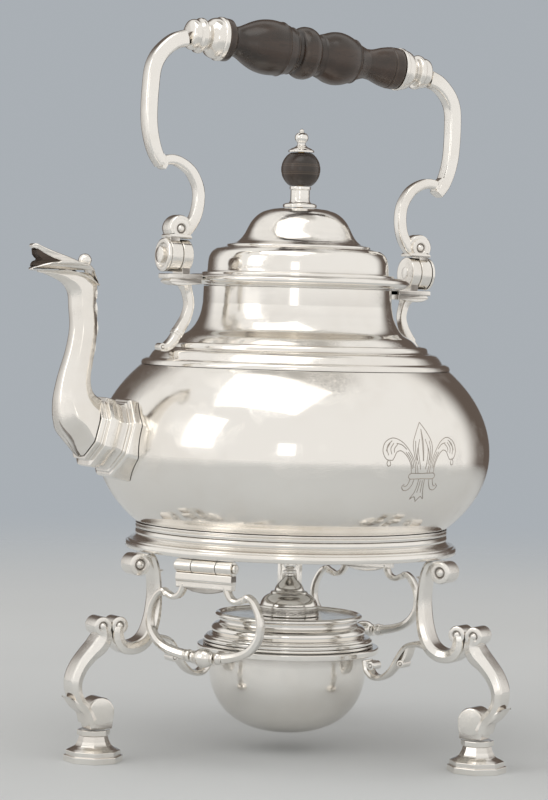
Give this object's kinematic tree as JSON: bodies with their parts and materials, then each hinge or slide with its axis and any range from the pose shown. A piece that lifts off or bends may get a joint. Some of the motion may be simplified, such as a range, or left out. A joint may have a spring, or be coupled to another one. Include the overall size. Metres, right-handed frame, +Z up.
{
  "type": "tea kettle on stand with spirit lamp",
  "caption": "Silver tea kettle with beaked spout and swing handle, lift-off lid, on a scroll-legged stand with carrying handles and a lift-out spirit lamp.",
  "frame": {"origin": "on the floor, under the middle of the part's bounding box", "axes": "+Z up, the spout points along -X, and the swing handle's grip lies over the X axis; the kettle's own axis stands 24.5 mm along +X from the origin"},
  "size_m": [0.2454, 0.2174, 0.3634],
  "materials": {
    "polished_silver": "polished silver, old and hand burnished",
    "cast_silver": "cast silver, filed and polished",
    "inner_silver": "silver, satin, as inside the kettle",
    "dark_wood": "turned dark brown fruitwood, waxed",
    "brass_fittings": "plain brass",
    "wick_cotton": "plaited cotton"
  },
  "bodies": {
    "stand": {"stand_ring": "polished_silver", "lamp_cradle_ring": "polished_silver", "leg_spout_side": "cast_silver", "leg_near_side": "cast_silver", "leg_far_side": "cast_silver", "foot_spout_side": "cast_silver", "foot_near_side": "cast_silver", "foot_far_side": "cast_silver", "lamp_arm_spout_side": "cast_silver", "lamp_arm_near_side": "cast_silver", "lamp_arm_far_side": "cast_silver", "handle_lug_near": "cast_silver", "handle_lug_far": "cast_silver", "handle_pin_near": "polished_silver", "handle_pin_far": "polished_silver"},
    "near_handle": {"drop_handle_near": "cast_silver", "handle_knop_near": "cast_silver"},
    "far_handle": {"drop_handle_far": "cast_silver", "handle_knop_far": "cast_silver"},
    "lamp": {"lamp_bowl": "polished_silver", "lamp_cover": "polished_silver", "wick_tube": "brass_fittings", "wick": "wick_cotton"},
    "snuffer": {"snuffer_cap": "polished_silver", "snuffer_finial": "polished_silver"},
    "kettle": {"kettle_body": "polished_silver", "shoulder_moulding": "polished_silver", "neck_collar": "polished_silver", "foot_ring": "polished_silver", "spout_base": "cast_silver", "spout": "cast_silver", "spout_crest": "cast_silver", "bracket_front": "cast_silver", "bracket_rear": "cast_silver", "hinge_pin_front": "cast_silver", "hinge_pin_rear": "cast_silver"},
    "lid": {"lid_shell": "polished_silver", "lid_bezel": "inner_silver", "finial_stem": "polished_silver", "finial_ball": "dark_wood", "finial_cap": "polished_silver", "finial_rod": "brass_fittings", "finial_nut": "cast_silver"},
    "swing_handle": {"bail_arm_front": "cast_silver", "bail_arm_rear": "cast_silver", "ferrule_front": "cast_silver", "ferrule_rear": "cast_silver", "grip": "dark_wood", "grip_rod": "cast_silver"}
  },
  "joints": [
    {"name": "kettle_lift", "type": "slide", "parent": "stand", "child": "kettle", "axis": [0, 0, 1], "range_m": [0, 0.04]},
    {"name": "lid_lift", "type": "slide", "parent": "kettle", "child": "lid", "axis": [0, 0, 1], "range_m": [0, 0.02]},
    {"name": "swing_handle_hinge", "type": "hinge", "parent": "kettle", "child": "swing_handle", "pos_m": [0.02446, 0, 0.2429], "axis": [0.9994, 0, -0.0349], "range_deg": [-90, 90]},
    {"name": "near_handle_hinge", "type": "hinge", "parent": "stand", "child": "near_handle", "pos_m": [-0.04482, -0.04, 0.0968], "axis": [-0.5, 0.866, 0], "range_deg": [-8, 90]},
    {"name": "far_handle_hinge", "type": "hinge", "parent": "stand", "child": "far_handle", "pos_m": [0.09375, 0.04, 0.0968], "axis": [0.5, -0.866, 0], "range_deg": [-8, 90]},
    {"name": "lamp_lift", "type": "slide", "parent": "stand", "child": "lamp", "axis": [0, 0, 1], "range_m": [0, 0.01]},
    {"name": "snuffer_lift", "type": "slide", "parent": "lamp", "child": "snuffer", "axis": [0, 0, 1], "range_m": [0, 0.006]}
  ]
}
